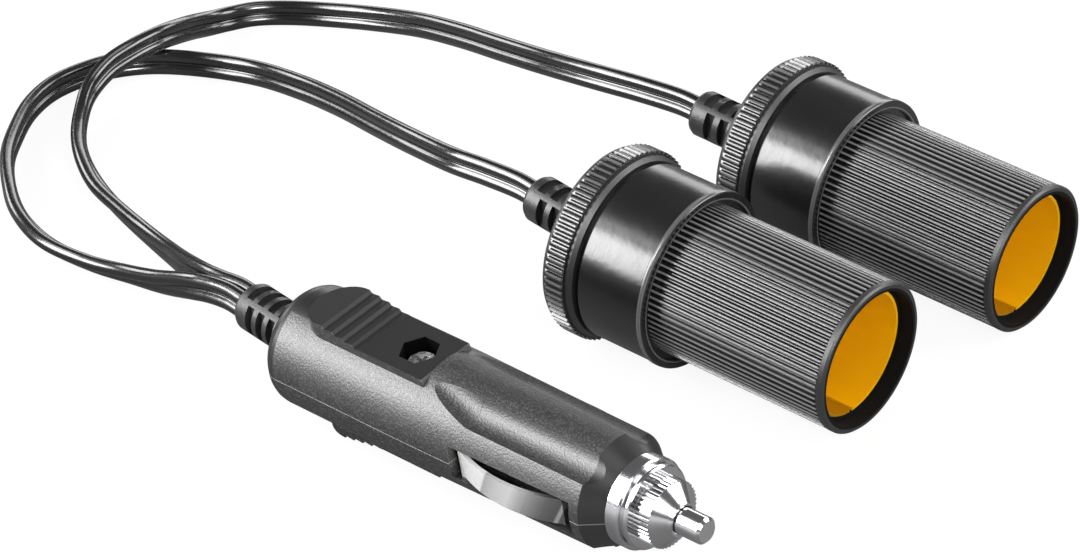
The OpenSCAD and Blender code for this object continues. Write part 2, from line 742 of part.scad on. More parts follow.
// Smooth housing: a bead of two ridges in front, a groove and a plain spigot for the cap behind
module collar() {
    front = -barrel_len;
    step = (bead_r - collar_r) / 2;
    difference() {
        turned([[-collar_back - groove_w - lip_w, 0], [-collar_back - groove_w - lip_w, spigot_r],
            [-collar_back - groove_w, spigot_r], [-collar_back - groove_w, cap_neck_r],
            [-collar_back, cap_neck_r], [-collar_back, collar_r - step], [-collar_back + step, collar_r],
            [front - bead_w, collar_r], [front - bead_w * 0.85, bead_r], [front - bead_w * 0.6, bead_r],
            [front - bead_w * 0.5, bead_r - step], [front - bead_w * 0.4, bead_r],
            [front - bead_w * 0.1, bead_r - step * 0.5], [front, bead_r - 2 * step], [front, 0]]);
        rod(barrel_r + push_gap, -barrel_back, over - barrel_len);
        rod(barrel_r + recess_w, recess_w * -0.6 - barrel_len, over - barrel_len);
        rod(collar_bore, -collar_back - groove_w - lip_w - over, -barrel_back + over);
    }
}

// Knurled cap with a smooth lip in front and a rounded rear corner
module cap() {
    depth = cap_r * 0.02;
    front = -cap_front_x;
    back = -cap_back_x;
    difference() {
        union() {
            knurled(cap_r, depth, cap_knurls, front - cap_w + cap_round - cap_tail, front);
            turned(concat([[back, 0]],
                [for (a = [0:15:90]) [back + cap_round * (1 - cos(a)), cap_r - depth - cap_round * (1 - sin(a))]],
                [[front, cap_r - depth], [front, cap_lip_r], [front + lip_w * 0.5, cap_lip_r],
                [front + lip_w, cap_lip_r - lip_w * 0.5], [front + lip_w, 0]]));
        }
        rod(spigot_r + run_gap, back + cap_wall, front + lip_w + over);
        rod(neck_r + push_gap, back - over, front);
    }
}

// Rolled metal sleeve with a lengthwise seam
module sleeve() {
    difference() {
        rod(sleeve_out, -sleeve_end, -mouth_depth);
        rod(sleeve_r, -sleeve_end - over, over);
        translate([-sleeve_end - over, -seam / 2, -sleeve_out - over]) cube([sleeve_len + 2 * over, seam, sleeve_t + 2 * over]);
    }
}

insulator_front = -sleeve_end - push_gap;
insulator_back = insulator_front - insulator_t;
module insulator() {
    difference() {
        rod(sleeve_out, insulator_back, insulator_front);
        rod(stud_r + push_gap, insulator_back - over, insulator_front + over);
        rod(stud_head_r + run_gap, insulator_front - stud_head_h, insulator_front + over);
        translate([insulator_back - over, -barrel_r, -minus_w / 2 - push_gap])
            cube([insulator_t + 2 * over, barrel_r - minus_out + tag_t + push_gap, minus_w + 2 * push_gap]);
    }
}

minus_w = 4;
minus_step = 0.1;
minus_out = sleeve_r + minus_step;
minus_in = 5;
stack_1 = insulator_back - push_gap - tag_t;
stack_2 = stack_1 - push_gap - washer_t;
stack_3 = stack_2 - push_gap - socket_nut_h;
module stud() {
    rod(stud_head_r, insulator_front - stud_head_h + push_gap, insulator_front);
    rod(stud_r, stack_3 - stud_tail, insulator_front - stud_head_h / 2);
}

module washer() {
    difference() {
        rod(socket_nut_w / 2 + washer_rise, stack_2, stack_2 + washer_t);
        rod(stud_r + push_gap, stack_2 - over, stack_2 + washer_t + over);
    }
}

module socket_nut() {
    difference() {
        translate([stack_3, 0, 0]) rotate([0, 90, 0]) cylinder(r = socket_nut_w / sqrt(3), h = socket_nut_h, $fn = 6);
        rod(stud_r + push_gap, stack_3 - over, stack_3 + socket_nut_h + over);
    }
}

// Solder tag on the stud
module tag_plus() {
    tag_w = 4;
    tag_len = 8;
    difference() {
        union() {
            rod(tag_w / 2 + 0.6, stack_1, stack_1 + tag_t);
            translate([stack_1, 0, -tag_w / 2]) cube([tag_t, tag_len, tag_w]);
        }
        rod(stud_r + push_gap, stack_1 - over, stack_1 + tag_t + over);
        translate([0, tag_len - tag_w / 2, 0]) rod(tag_w / 5, stack_1 - over, stack_1 + tag_t + over);
    }
}

// Solder tag that reaches the sleeve's rear edge through a notch in the insulator
module tag_minus() {
    tail = 2.4;
    translate([stack_1, -minus_out, -minus_w / 2]) {
        cube([tag_t, minus_out - minus_in, minus_w]);
        cube([insulator_front - stack_1, tag_t, minus_w]);
        translate([-tail, minus_out - minus_in - tag_t, 0]) cube([tail + tag_t, tag_t, minus_w]);
    }
}

// Ends of the leads: a point d beyond the pivot of a strain relief, along its lean
function socket_out(v) = [cos(socket_yaw) * v[0] - sin(socket_yaw) * v[1],
    sin(socket_yaw) * v[0] + cos(socket_yaw) * v[1], v[2]];
function socket_end(x, y, lean, d) = [x, y, barrel_r * cos(socket_tilt)]
    + socket_out([-(cap_back_x + d * cos(lean)) * cos(socket_tilt), d * sin(lean),
        (cap_back_x + d * cos(lean)) * sin(socket_tilt)]);
function plug_end(side, d) = [plug_x - grip_len, plug_y, plug_z]
    + d * [-cos(plug_lean), sin(plug_lean), 0] + side * lead_side * [sin(plug_lean), cos(plug_lean), 0];
function lead_route(side, middle, x, y, lean) = concat(
    [concat(plug_end(side, plug_boot_len), 0), concat(plug_end(side, plug_boot_len + lead_w), 0)], middle,
    [concat(socket_end(x, y, lean, socket_boot_len + lead_w), 0),
        concat(socket_end(x, y, lean, socket_boot_len), 0)]);
function length(p) = len(p) < 2 ? 0 : norm(place(p[1]) - place(p[0]))
    + length([for (i = [1:len(p) - 1]) p[i]]);
near_path = smooth_route(lead_route(-1, near_route, near_x, near_y, near_lean));
far_path = smooth_route(lead_route(1, far_route, far_x, far_y, far_lean));
echo("lengths of the near and far leads", length(near_path), length(far_path));

module near_cable() {
    color(rubber) lead(near_path);
}

module far_cable() {
    color(rubber) lead(far_path);
}

module near() {
    socket_place(near_x, near_y) children();
}

module far() {
    socket_place(far_x, far_y) children();
}

module socket_boot(lean) {
    translate([-cap_back_x, 0, 0]) boot(boot_r + flange_rise, cap_wall + push_gap, lean, socket_boot_len);
}

plug_upper_shell();
plug_lower_shell();
shell_screw();
shell_nut();
nose_ring();
nose_cap();
centre_pin();
fuse_glass();
fuse_caps();
contact_spring();
plug_terminal();
contact_right();
contact_left();
ground_strip();
plug_boot();
near_cable();
far_cable();
color(moulding) near() barrel();  // near_barrel
color(moulding) near() collar();  // near_collar
color(moulding) near() cap();  // near_cap
color(amber) near() sleeve();  // near_sleeve
color(fibre) near() insulator();  // near_insulator
color(brass) near() stud();  // near_stud
color(steel) near() washer();  // near_washer
color(steel) near() socket_nut();  // near_nut
color(brass) near() tag_plus();  // near_tag_plus
color(brass) near() tag_minus();  // near_tag_minus
color(rubber) near() socket_boot(near_lean);  // near_boot
color(moulding) far() barrel();  // far_barrel
color(moulding) far() collar();  // far_collar
color(moulding) far() cap();  // far_cap
color(amber) far() sleeve();  // far_sleeve
color(fibre) far() insulator();  // far_insulator
color(brass) far() stud();  // far_stud
color(steel) far() washer();  // far_washer
color(steel) far() socket_nut();  // far_nut
color(brass) far() tag_plus();  // far_tag_plus
color(brass) far() tag_minus();  // far_tag_minus
color(rubber) far() socket_boot(far_lean);  // far_boot
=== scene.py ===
"""Car power socket splitter: the leads, the finishes, the light and the camera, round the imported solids.

Everything is in metres in the solids' own frame. Sizes in a piece's own millimetres are turned into
metres by MM. Each finish is worked out on Object coordinates, turned into the frame of the plug or of
one socket, so that grain, turning marks and parting lines follow the piece.
"""

import json
import math

import bpy
import numpy as np
from bpy.props import FloatProperty, FloatVectorProperty, PointerProperty
from mathutils import Euler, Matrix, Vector


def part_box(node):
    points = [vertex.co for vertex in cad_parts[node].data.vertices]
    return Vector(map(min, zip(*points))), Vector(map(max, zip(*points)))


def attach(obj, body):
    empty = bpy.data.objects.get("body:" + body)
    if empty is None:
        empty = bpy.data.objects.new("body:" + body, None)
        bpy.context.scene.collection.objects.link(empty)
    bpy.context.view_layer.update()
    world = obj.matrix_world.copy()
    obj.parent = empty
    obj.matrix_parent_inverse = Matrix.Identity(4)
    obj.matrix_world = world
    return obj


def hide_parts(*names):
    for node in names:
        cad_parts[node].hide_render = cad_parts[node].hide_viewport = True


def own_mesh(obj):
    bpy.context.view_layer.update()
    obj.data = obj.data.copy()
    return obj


bl_info = {
    "name": "Car power socket splitter",
    "version": (1, 0, 0),
    "blender": (4, 5, 0),
    "location": "View3D > Sidebar > Splitter",
    "description": "Leads, finishes, light and camera for a plug with two in-line sockets",
    "category": "Object",
}

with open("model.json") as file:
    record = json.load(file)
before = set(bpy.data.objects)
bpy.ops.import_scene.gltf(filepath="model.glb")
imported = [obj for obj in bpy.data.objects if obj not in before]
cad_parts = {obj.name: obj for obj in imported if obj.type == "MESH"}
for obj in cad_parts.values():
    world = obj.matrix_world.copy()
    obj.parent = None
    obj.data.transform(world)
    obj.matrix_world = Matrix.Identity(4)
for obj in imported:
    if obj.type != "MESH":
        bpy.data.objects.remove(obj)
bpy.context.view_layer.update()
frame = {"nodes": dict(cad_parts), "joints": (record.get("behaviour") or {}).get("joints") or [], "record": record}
MM = 0.001

# ---------------------------------------------------------------- places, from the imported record

MOUNTS = {m["name"]: m for m in frame["record"]["mounts"]}
JOINTS = {j["name"]: j for j in frame["joints"]}
MOUTH_TO_MIDDLE = 22.8 * MM


def plug_place():
    """Origin and turn of the plug's own frame: nose seat on its axis, rolled about X."""
    axis = JOINTS["contact_right_flex"]["axis"]
    return tuple(MOUNTS["plug_insertion"]["pos_m"]), (math.atan2(-axis[1], axis[2]), 0.0, 0.0)


def socket_place(side):
    """Origin and turn of one socket's own frame: middle of its mouth, X out of the mouth."""
    mount = MOUNTS[side + "_socket"]
    axis = Vector(mount["axis"]).normalized()
    mouth = Vector(mount["pos_m"]) + axis * MOUTH_TO_MIDDLE
    return tuple(mouth), (0.0, math.asin(-axis.z), math.atan2(axis.y, axis.x))


PLACES = {"plug": plug_place(), "near": socket_place("near"), "far": socket_place("far")}

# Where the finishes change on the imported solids, in millimetres in the plug's own frame: X runs from its cable
# end to its nose, and Z stands out of its pads
PAD_FRONT, PAD_TOP, PAD_HALF_WIDTH = -39.3, 9.6, 5.5
NOSE_BACK, CABLE_END = -3.35, -70.3
SEAM_HALF_WIDTH, SEAM_INNER_RADIUS = 0.09, 6.9
SCREW_X, HOLE_RADIUS, HOLE_TOP = -44.9, 3.6, 9.75
CAP_KNURLS, KNURL_BACK, KNURL_FRONT = 44, 4.3, 7.1

# A side contact's painted reflection, as light and dark stretches: (share of its length from the back, share of
# the steel's colour)
CONTACT_BACK, CONTACT_SPAN = -34, 28
CONTACT_PAINTED_REFLECTION = (
    (0, 1), (0.385, 1), (0.4, 0.515), (0.6, 1), (0.72, 0.619),
    (0.84, 0.34), (0.92, 0.289), (0.93, 1), (0.945, 1), (0.955, 0.309),
)

# The spring behind the fuse, to the middle of its wire, the wire's radius, and how far the pin presses it
SPRING_RADIUS, SPRING_TURNS, SPRING_WIRE, PIN_PUSH = 2.6, 6, 0.3, 2.5

# Where the finishes change in a socket's own frame, in which X runs out of its mouth
BEAD_X, BEAD_HALF_WIDTH, BEAD_INNER_RADIUS = -35.35, 0.42, 15.6
EDGE_X, EDGE_RADIUS, EDGE_HALF_WIDTH = -34.85, 14.5, 0.13
BORE_RADIUS = 12.3
# Piece, ridges round it, radius of its grooves, X where its ridges end in front, and depth of a crest and tone of
# its painted highlight
RIBBED = (("barrel", 72, 12.4, -1.3, 0.12, 0.26), ("cap", 78, 16.55, 0, 0.09, 0.14))

# Middle of a ridge's crest as a share of the step from ridge to ridge, counted from the own -Z towards +Y
CREST_AT = 0.15

# Widths over which one finish passes into the next, in millimetres
HARD, SOFT = 0.05, 0.1

# On the floor, in the frame's millimetres: the line at the plug's side, beyond which the painted shade that glossy
# faces mirror is darkest, and one out in front of it, beyond which it is lightest
PLUG_SIDE_Y, OPEN_FLOOR_Y = -47, -85
FLOOR_REACH = 6.0
# The floor's glow, and its share in what the camera sees, in what glossy faces mirror and in what shows through
# the glass; the rest is the floor's own light, with the part's shadow
GLOW, GLOW_SEEN, GLOW_MIRRORED, GLOW_THROUGH = 1.06, 0.86, 0.05, 0.6

# Lamps: name, way from the part, distance, width and height in metres, the setting that gives its radiance and
# the share of that setting. Key, key_top and rim make the highlights of the photograph's view, fill, front_top
# and mouths light the amber sleeves and the nose, and the others keep the back and the top readable
LAMPS = (
    ("key", (-0.61, -0.71, 0.36), 1.2, 0.75, 0.66, "key", 1),
    ("key_top", (-0.61, -0.42, 0.67), 1.2, 0.7, 0.3, "key", 0.34),
    ("rim", (-0.61, 0.75, 0.27), 1.3, 0.9, 0.4, "rim", 1),
    ("fill", (0.80, -0.35, 0.42), 1.3, 0.6, 0.6, "fill", 1),
    ("front_top", (0.50, -0.07, 0.86), 1.2, 0.45, 0.45, "fill", 0.8),
    ("mouths", (0.82, -0.40, 0.40), 1.3, 0.35, 0.35, "fill", 4.7),
    ("back_right", (0.60, 0.62, 0.45), 1.3, 0.8, 0.6, "key", 0.45),
    ("overhead", (0, 0.35, 0.94), 1.3, 0.7, 0.35, "key", 0.18),
    ("back", (0.05, 0.92, 0.38), 1.3, 0.5, 0.3, "key", 0.35),
    ("left", (-0.95, -0.02, 0.26), 1.3, 0.45, 0.3, "key", 0.5),
)
LAMP_AIM = Vector((-0.01, 0.0, 0.015))

# Each lead's route from the plug's strain relief to its socket's, in millimetres: x, y, z, and the angle
# by which the lead's width leans away from upright
NEAR_ROUTE = (
    (-51.54, -51.08, 12.41, 0), (-56.5, -50.38, 12.41, 0), (-61.5, -50, 11.7, -4), (-67, -49.5, 10.2, -10),
    (-77, -47.5, 6.5, -30), (-87, -46, 3.8, -44), (-97, -46, 2.3, -50), (-108, -46, 2.1, -50),
    (-118.5, -43, 2.4, -32), (-128, -37.5, 2.6, -10), (-137.5, -30, 2.6, 0), (-144.5, -22, 2.6, 0),
    (-150.5, -13.5, 2.6, 0), (-154, -5, 2.6, 0), (-154.5, 3, 2.6, 0), (-153, 10, 2.6, 0),
    (-148.5, 16.5, 2.6, 0), (-140.5, 22, 2.6, 0), (-129.5, 24.5, 3.6, 0), (-115.5, 22.5, 6, 0),
    (-100, 17.5, 9.5, 0), (-84.5, 11.5, 13, 0), (-71, 6.5, 16, 0), (-57.5, 3, 18.2, 0),
    (-49, 2.8, 18.8, 0), (-41.19, 2.94, 18.89, 0), (-36.22, 2.6, 18.52, 0),
)
FAR_ROUTE = (
    (-51.17, -48.4, 12.41, 0), (-56.12, -47.71, 12.41, 0), (-61.5, -47.2, 11.7, -2), (-67, -45.8, 10.5, -5),
    (-77, -41.5, 7.5, -10), (-86.5, -36.8, 4.7, -18), (-96.5, -32.8, 3, -26), (-107, -29.4, 2.4, -34),
    (-117, -26, 2.3, -42), (-126, -21.5, 2.5, -28), (-134, -16, 2.6, -10), (-140, -10.2, 3.4, 0),
    (-144.3, -4.3, 5.1, 0), (-146.3, 2.3, 7, 0), (-146.6, 9, 8.1, 0), (-147.3, 16, 8.1, 0),
    (-149.2, 22.8, 6.7, 0), (-151.5, 28.5, 4.9, 0), (-153, 34, 3.3, 0), (-153, 39, 2.6, 0),
    (-151, 44, 2.6, 0), (-146.7, 48.7, 2.6, 0), (-139.8, 52.3, 3.2, 0), (-130, 54.5, 4.8, 0),
    (-117, 54.5, 7.6, 0), (-103.5, 52, 10.6, 0), (-89.5, 48.5, 13.6, 0), (-75.5, 45.5, 16.4, 0),
    (-62, 44.4, 18.3, 0), (-52, 45.2, 18.9, 0), (-43.43, 46.26, 18.9, 0), (-38.45, 46.45, 18.53, 0),
)


# ---------------------------------------------------------------- what a user may change


def colour(name, description, default):
    return FloatVectorProperty(
        name=name, description=description, subtype="COLOR", size=3, min=0, max=1, default=default
    )


def share(name, description, default):
    return FloatProperty(name=name, description=description, min=0, max=1, default=default)


def size(name, description, default):
    return FloatProperty(
        name=name, description=description, subtype="DISTANCE", unit="LENGTH", precision=5, default=default
    )


def radiance(name, description, default):
    return FloatProperty(name=name, description=description, min=0, default=default)


class SPLITTER_PG_leads(bpy.types.PropertyGroup):
    width: size("Width", "Width of a lead across both cores", 5 * MM)
    web: share("Web", "Thickness of the web between the cores, as a share of a core's", 0.45)
    jacket: colour("Jacket", "Colour of the leads and strain reliefs", (0.005, 0.005, 0.0055))
    worn_and_highlight: colour("Worn rubber", "Colour of the lighter patches of the strain reliefs", (0.05, 0.05, 0.052))
    gloss: share("Roughness", "Roughness of the leads", 0.16)


class SPLITTER_PG_plug(bpy.types.PropertyGroup):
    moulding: colour("Moulding", "Colour of the grip's grained moulding", (0.006, 0.006, 0.0065))
    speckle: colour("Speckle", "Colour of the moulding's light specks", (0.06, 0.06, 0.061))
    smooth: colour("Smooth faces", "Colour of the pads, nose shoulder and cable end", (0.024, 0.024, 0.025))
    seam: colour("Seam", "Colour of the rubbed edge along the joint of the two shells", (0.3, 0.3, 0.31))
    grain: size("Grain", "Size of the moulding's grain", 0.36 * MM)
    gloss: share("Roughness", "Roughness of the grained moulding", 0.44)


class SPLITTER_PG_metal(bpy.types.PropertyGroup):
    chrome: colour("Chrome", "Colour of the plated nose", (0.86, 0.86, 0.88))
    steel: colour("Steel", "Colour of the side contacts, washers and nuts", (0.97, 0.97, 0.97))
    zinc: colour("Zinc", "Colour of the screw and nut of the plug", (1, 1, 0.99))
    wire: colour("Spring wire", "Colour of the spring behind the fuse", (0.8, 0.8, 0.81))
    brass: colour("Brass", "Colour of the tags, studs and inner strips", (0.72, 0.5, 0.2))


class SPLITTER_PG_sockets(bpy.types.PropertyGroup):
    moulding: colour("Moulding", "Colour of the socket housings", (0.008, 0.008, 0.009))
    # The next colour is a painted highlight along the collars' bead and edge
    worn_and_highlight: colour("Edge highlight", "Colour of the painted highlight on the collars' bead and edge", (0.16, 0.16, 0.165))
    gloss: share("Roughness", "Roughness of the smooth collar", 0.15)
    amber: colour("Sleeve", "Colour of the contact sleeves", (1.0, 0.5, 0.0))
    fibre: colour("Fibre", "Colour of the discs that close the sleeves", (0.34, 0.16, 0.04))


class SPLITTER_PG_stage(bpy.types.PropertyGroup):
    floor: colour("Floor", "Colour of the floor", (0.9, 0.9, 0.9))
    # What glossy faces mirror of the floor is painted grey as shade, darkest by the plug's side
    mirrored: colour("Mirrored floor", "Colour of the floor where a glossy face mirrors it", (0.22, 0.22, 0.22))
    mirrored_close: colour("Mirrored by the plug", "The same under the plug's side", (0.12, 0.12, 0.12))
    mirrored_far: colour("Mirrored in front", "The same far in front of the plug", (0.5, 0.5, 0.5))
    ambient: share("Surroundings", "Strength of the light from all round", 0.11)
    key: radiance("Key light", "Radiance of the large soft light", 10)
    rim: radiance("Rim light", "Radiance of the light behind", 2.5)
    fill: radiance("Fill light", "Radiance of the light in front of the mouths", 3)


GROUPS = {
    "splitter_leads": SPLITTER_PG_leads,
    "splitter_plug": SPLITTER_PG_plug,
    "splitter_metal": SPLITTER_PG_metal,
    "splitter_sockets": SPLITTER_PG_sockets,
    "splitter_stage": SPLITTER_PG_stage,
}


# ---------------------------------------------------------------- shader maths


class Wire:
    """One output socket of a material's node. Sums on it add Math nodes."""

    def __init__(self, finish, socket):
        self.finish, self.socket = finish, socket

    def _math(self, operation, *values):
        return self.finish.node("ShaderNodeMath", {"operation": operation}, dict(enumerate(values)))

    def __add__(self, other):
        return self._math("ADD", self, other)

    def __radd__(self, other):
        return self._math("ADD", other, self)

    def __sub__(self, other):
        return self._math("SUBTRACT", self, other)

    def __rsub__(self, other):
        return self._math("SUBTRACT", other, self)

    def __mul__(self, other):
        return self._math("MULTIPLY", self, other)

    def __rmul__(self, other):
        return self._math("MULTIPLY", other, self)

    def __truediv__(self, other):
        return self._math("DIVIDE", self, other)

    def __abs__(self):
        return self._math("ABSOLUTE", self)

    def larger(self, other):
        return self._math("MAXIMUM", self, other)

    def sine(self):
        return self._math("SINE", self)

    def above(self, edge, soft):
        """0 under the edge and 1 over it, over a soft width."""
        edges = {0: self, 1: edge - soft / 2, 2: edge + soft / 2}
        return self.finish.node("ShaderNodeMapRange", {"interpolation_type": "SMOOTHSTEP"}, edges)

    def below(self, edge, soft):
        return 1 - self.above(edge, soft)

    def off_axis(self, other):
        """Distance from the axis of which this wire and the other are the coordinates."""
        return self._math("SQRT", self * self + other * other)

    def crests(self, z, count):
        """For this wire as own y: 1 along the middle of each of so many ridges round the own X axis, and -1 in
        the grooves between them."""
        turn = self._math("ARCTAN2", self, 0 - z)
        return (turn * count - 2 * math.pi * CREST_AT + math.pi / 2).sine()


class Finish:
    """A material with one main shader. Constants are set on its sockets, and wires go where a value varies. A
    constant under a wire stays as the flat value for an exporter that reads no nodes."""

    def __init__(self, name, place=None, **constants):
        self.material = bpy.data.materials.new(name)
        self.material.use_nodes = True
        self.tree = self.material.node_tree
        self.shader = self.tree.nodes["Principled BSDF"]
        self.surface = self.tree.nodes["Material Output"].inputs["Surface"]
        for socket, value in constants.items():
            self.set(socket.replace("_", " "), value)
        inputs = {"Vector": self.node("ShaderNodeTexCoord", out="Object"), "Scale": (MM, MM, MM)}
        if place is not None:
            inputs["Location"], inputs["Rotation"] = PLACES[place]
        self.own = self.node("ShaderNodeMapping", {"vector_type": "TEXTURE"}, inputs)

    def feed(self, socket, value):
        """Links a wire to a socket, or sets a constant on it, of which a colour gets its alpha."""
        if isinstance(value, Wire):
            self.tree.links.new(value.socket, socket)
        else:
            socket.default_value = (*value, 1) if socket.type == "RGBA" else value

    def node(self, kind, settings=None, inputs=None, out=0):
        """Adds a node: its settings first, then its sockets' constants or wires. Gives one of its outputs."""
        node = self.tree.nodes.new(kind)
        for name, value in (settings or {}).items():
            setattr(node, name, value)
        for name, value in (inputs or {}).items():
            self.feed(node.inputs[name], value)
        return Wire(self, node.outputs[out])

    def set(self, socket, value):
        """Sets a socket of the main shader."""
        self.feed(self.shader.inputs[socket], value)

    def parts(self):
        """Own x, y and z in millimetres."""
        split = self.node("ShaderNodeSeparateXYZ", inputs={0: self.own})
        return [Wire(self, output) for output in split.socket.node.outputs]

    def noise(self, scale, detail=2.0, roughness=0.5, vector=None):
        """Noise of so many waves in a millimetre."""
        inputs = {"Vector": vector or self.own, "Scale": scale, "Detail": detail, "Roughness": roughness}
        return self.node("ShaderNodeTexNoise", inputs=inputs)

    def stretched(self, scale):
        """Own coordinates stretched by three factors, for turned or drawn marks."""
        return self.node("ShaderNodeVectorMath", {"operation": "MULTIPLY"}, {0: self.own, 1: scale})

    def ramp(self, value, stops):
        """The value turned into a share, by straight lines between (value, share) stops."""
        wire = self.node("ShaderNodeValToRGB", inputs={0: value})
        elements = wire.socket.node.color_ramp.elements
        while len(elements) < len(stops):
            elements.new(0.5)
        for element, (at, tone) in zip(elements, stops):
            element.position, element.color = at, (tone, tone, tone, 1)
        return wire

    def mix(self, factor, a, b):
        """Colour a where the factor is 0 and b where it is 1."""
        return self.node("ShaderNodeMix", {"data_type": "RGBA"}, {0: factor, 6: a, 7: b}, out=2)

    def blend(self, factor, shader):
        """Shows another shader where the factor is 1."""
        shown = Wire(self, self.surface.links[0].from_socket)
        mixed = self.node("ShaderNodeMixShader", inputs={0: factor, 1: shown, 2: shader})
        self.feed(self.surface, mixed)

    def over(self, factor, **constants):
        """Shows a second, plain shader with these constants where the factor is 1."""
        inputs = {name.replace("_", " "): value for name, value in constants.items()}
        self.blend(factor, self.node("ShaderNodeBsdfPrincipled", inputs=inputs))

    def bump(self, height, distance):
        """Relief on the main shader, as deep in millimetres as the distance where the height is 1."""
        inputs = {"Height": height, "Distance": distance * MM, "Strength": 1.0}
        self.set("Normal", self.node("ShaderNodeBump", inputs=inputs))


def wear(names, finish):
    """Gives the nodes that finish."""
    for name in names:
        mesh = frame["nodes"][name].data
        mesh.materials.clear()
        mesh.materials.append(finish.material)


# ---------------------------------------------------------------- shapes


def skin(name, points, faces, finish, body):
    """A closed mesh from points and faces, smooth, riding on a body."""
    mesh = bpy.data.meshes.new(name)
    mesh.from_pydata(points.tolist(), [], faces)
    mesh.polygons.foreach_set("use_smooth", np.ones(len(faces), bool))
    mesh.materials.append(finish.material)
    mesh.update()
    piece = bpy.data.objects.new(name, mesh)
    bpy.context.scene.collection.objects.link(piece)
    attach(piece, body)
    return piece


def curve_through(route, steps):
    """Smooth line through the route (Catmull-Rom): each stretch from b to c, with its neighbours a and d, is
    half of 2b + (c - a)t + (2a - 5b + 4c - d)t^2 + (3b - a - 3c + d)t^3."""
    p = np.asarray(route, float)
    a, b, c, d = np.vstack([p[:1], p[:-2]]), p[:-1], p[1:], np.vstack([p[2:], p[-1:]])
    t = (np.arange(steps) / steps)[None, :, None]
    a, b, c, d = (q[:, None, :] for q in (a, b, c, d))
    line = 0.5 * (2 * b + (c - a) * t + (2 * a - 5 * b + 4 * c - d) * t**2 + (3 * b - a - 3 * c + d) * t**3)
    return np.vstack([line.reshape(-1, p.shape[1]), p[-1:]])


def tube_faces(rings, sides):
    """Quads between rings of the same number of points, and a flat face at each end, all facing outwards."""
    i, j = np.meshgrid(np.arange(rings - 1), np.arange(sides), indexing="ij")
    k = (j + 1) % sides
    quads = np.stack([i * sides + j, i * sides + k, (i + 1) * sides + k, (i + 1) * sides + j], axis=-1)
    last = (rings - 1) * sides
    ends = [list(range(sides - 1, -1, -1)), list(range(last, last + sides))]
    return quads.reshape(-1, 4).tolist() + ends


def headings(line):
    """Unit direction of a line of points at each point."""
    way = np.gradient(line, axis=0)
    return way / np.linalg.norm(way, axis=1, keepdims=True)


def twin_outline(core, web, arc_points=30):
    """Outline of a twin lead's end as (thickness, width) pairs: two circles of the core's radius, one radius to
    either side of the middle, joined by a web whose half thickness is the given share of that radius."""
    start = math.acos(web)
    turn = np.linspace(-start, math.pi + start, arc_points)
    upper = np.stack([core * np.cos(turn), core + core * np.sin(turn)], axis=1)
    return np.vstack([upper, -upper])


def twin_lead(route, core, web, steps=20):
    """Points of a twin lead: its outline carried along the smooth route, its width turned away from upright by
    the route's fourth number."""
    line = curve_through(route, steps)
    middle, lean = line[:, :3], np.radians(line[:, 3])[:, None]
    way = headings(middle)
    side = np.cross(way, (0, 0, 1))
    side /= np.linalg.norm(side, axis=1, keepdims=True)
    up = np.cross(side, way)
    wide = up * np.cos(lean) + side * np.sin(lean)
    thick = side * np.cos(lean) - up * np.sin(lean)
    outline = twin_outline(core, web)
    across, along = outline[None, :, :1], outline[None, :, 1:]
    points = middle[:, None] + thick[:, None] * across + wide[:, None] * along
    return middle, points.reshape(-1, 3), tube_faces(len(middle), len(outline))


def coil(radius, wire, start, end, turns, closing=0.35, turn_points=28, ring_points=12):
    """Spring wire: a circle carried along a helix round X, whose pitch falls by the closing share towards its
    ends."""
    t = np.linspace(0, 1, turns * turn_points + 1)
    angle = 2 * np.pi * turns * t
    along = t - np.sin(2 * np.pi * t) / (2 * np.pi) * closing
    x = start + wire + (end - start - 2 * wire) * along
    line = np.stack([x, radius * np.cos(angle), radius * np.sin(angle)], axis=1)
    way = headings(line)
    out = np.stack([np.zeros_like(t), np.cos(angle), np.sin(angle)], axis=1)
    across = np.cross(way, out)
    across /= np.linalg.norm(across, axis=1, keepdims=True)
    out = np.cross(across, way)
    ring = np.linspace(0, 2 * np.pi, ring_points, endpoint=False)[None, :, None]
    points = line[:, None] + wire * (out[:, None] * np.cos(ring) + across[:, None] * np.sin(ring))
    return points.reshape(-1, 3), tube_faces(len(line), ring_points)


def placed(points, place):
    """Points in a piece's own millimetres, moved to the frame."""
    (x, y, z), turn = PLACES[place]
    matrix = np.array(Euler(turn, "XYZ").to_matrix())
    return points * MM @ matrix.T + np.array((x, y, z))


# ---------------------------------------------------------------- finishes


def grip_finish(choice):
    """Grained, speckled moulding with smooth pads, nose shoulder and cable end, a rubbed joint line, and painted
    shade in the hexagonal holes, which are a dull black."""
    grip = Finish("grip_moulding", "plug", Roughness=choice.gloss, IOR=2.1)
    x, y, z = grip.parts()
    side = abs(z)
    pad = side.above(PAD_TOP, SOFT) * x.below(PAD_FRONT, HARD) * abs(y).below(PAD_HALF_WIDTH, HARD)
    smooth = pad.larger(x.above(NOSE_BACK, HARD)).larger(x.below(CABLE_END, 0.3))
    grained = 1 - smooth
    seam = side.below(SEAM_HALF_WIDTH, 0.07) * y.off_axis(z).above(SEAM_INNER_RADIUS, 0.3)
    hole_shade = (x - SCREW_X).off_axis(y).below(HOLE_RADIUS, SOFT) * side.below(HOLE_TOP, SOFT)

    fine = grip.noise(MM / choice.grain, 2, 0.6)
    broad = grip.noise(0.16, 4, 0.6)
    specks = broad * 0.3 + fine.above(0.58, 0.16) * 0.8
    tone = grip.mix(smooth, choice.moulding, choice.smooth)
    tone = grip.mix(specks * grained, tone, choice.speckle)
    grip.set("Base Color", grip.mix(seam * (0.35 + 0.5 * broad), tone, choice.seam))
    grip.set("Roughness", choice.gloss + 0.3 * (fine - 0.5) * grained - 0.1 * seam)
    grip.bump(fine * (1 - 0.9 * smooth) - seam * 0.8, 0.075)
    grip.over(smooth * (1 - seam), Base_Color=choice.smooth, Roughness=choice.gloss - 0.1, IOR=1.5)
    # Painted shade: the hexagonal holes are a dull black that mirrors nothing
    grip.over(hole_shade, Base_Color=(0.001, 0.001, 0.001), Roughness=0.9, IOR=1.2)
    return grip


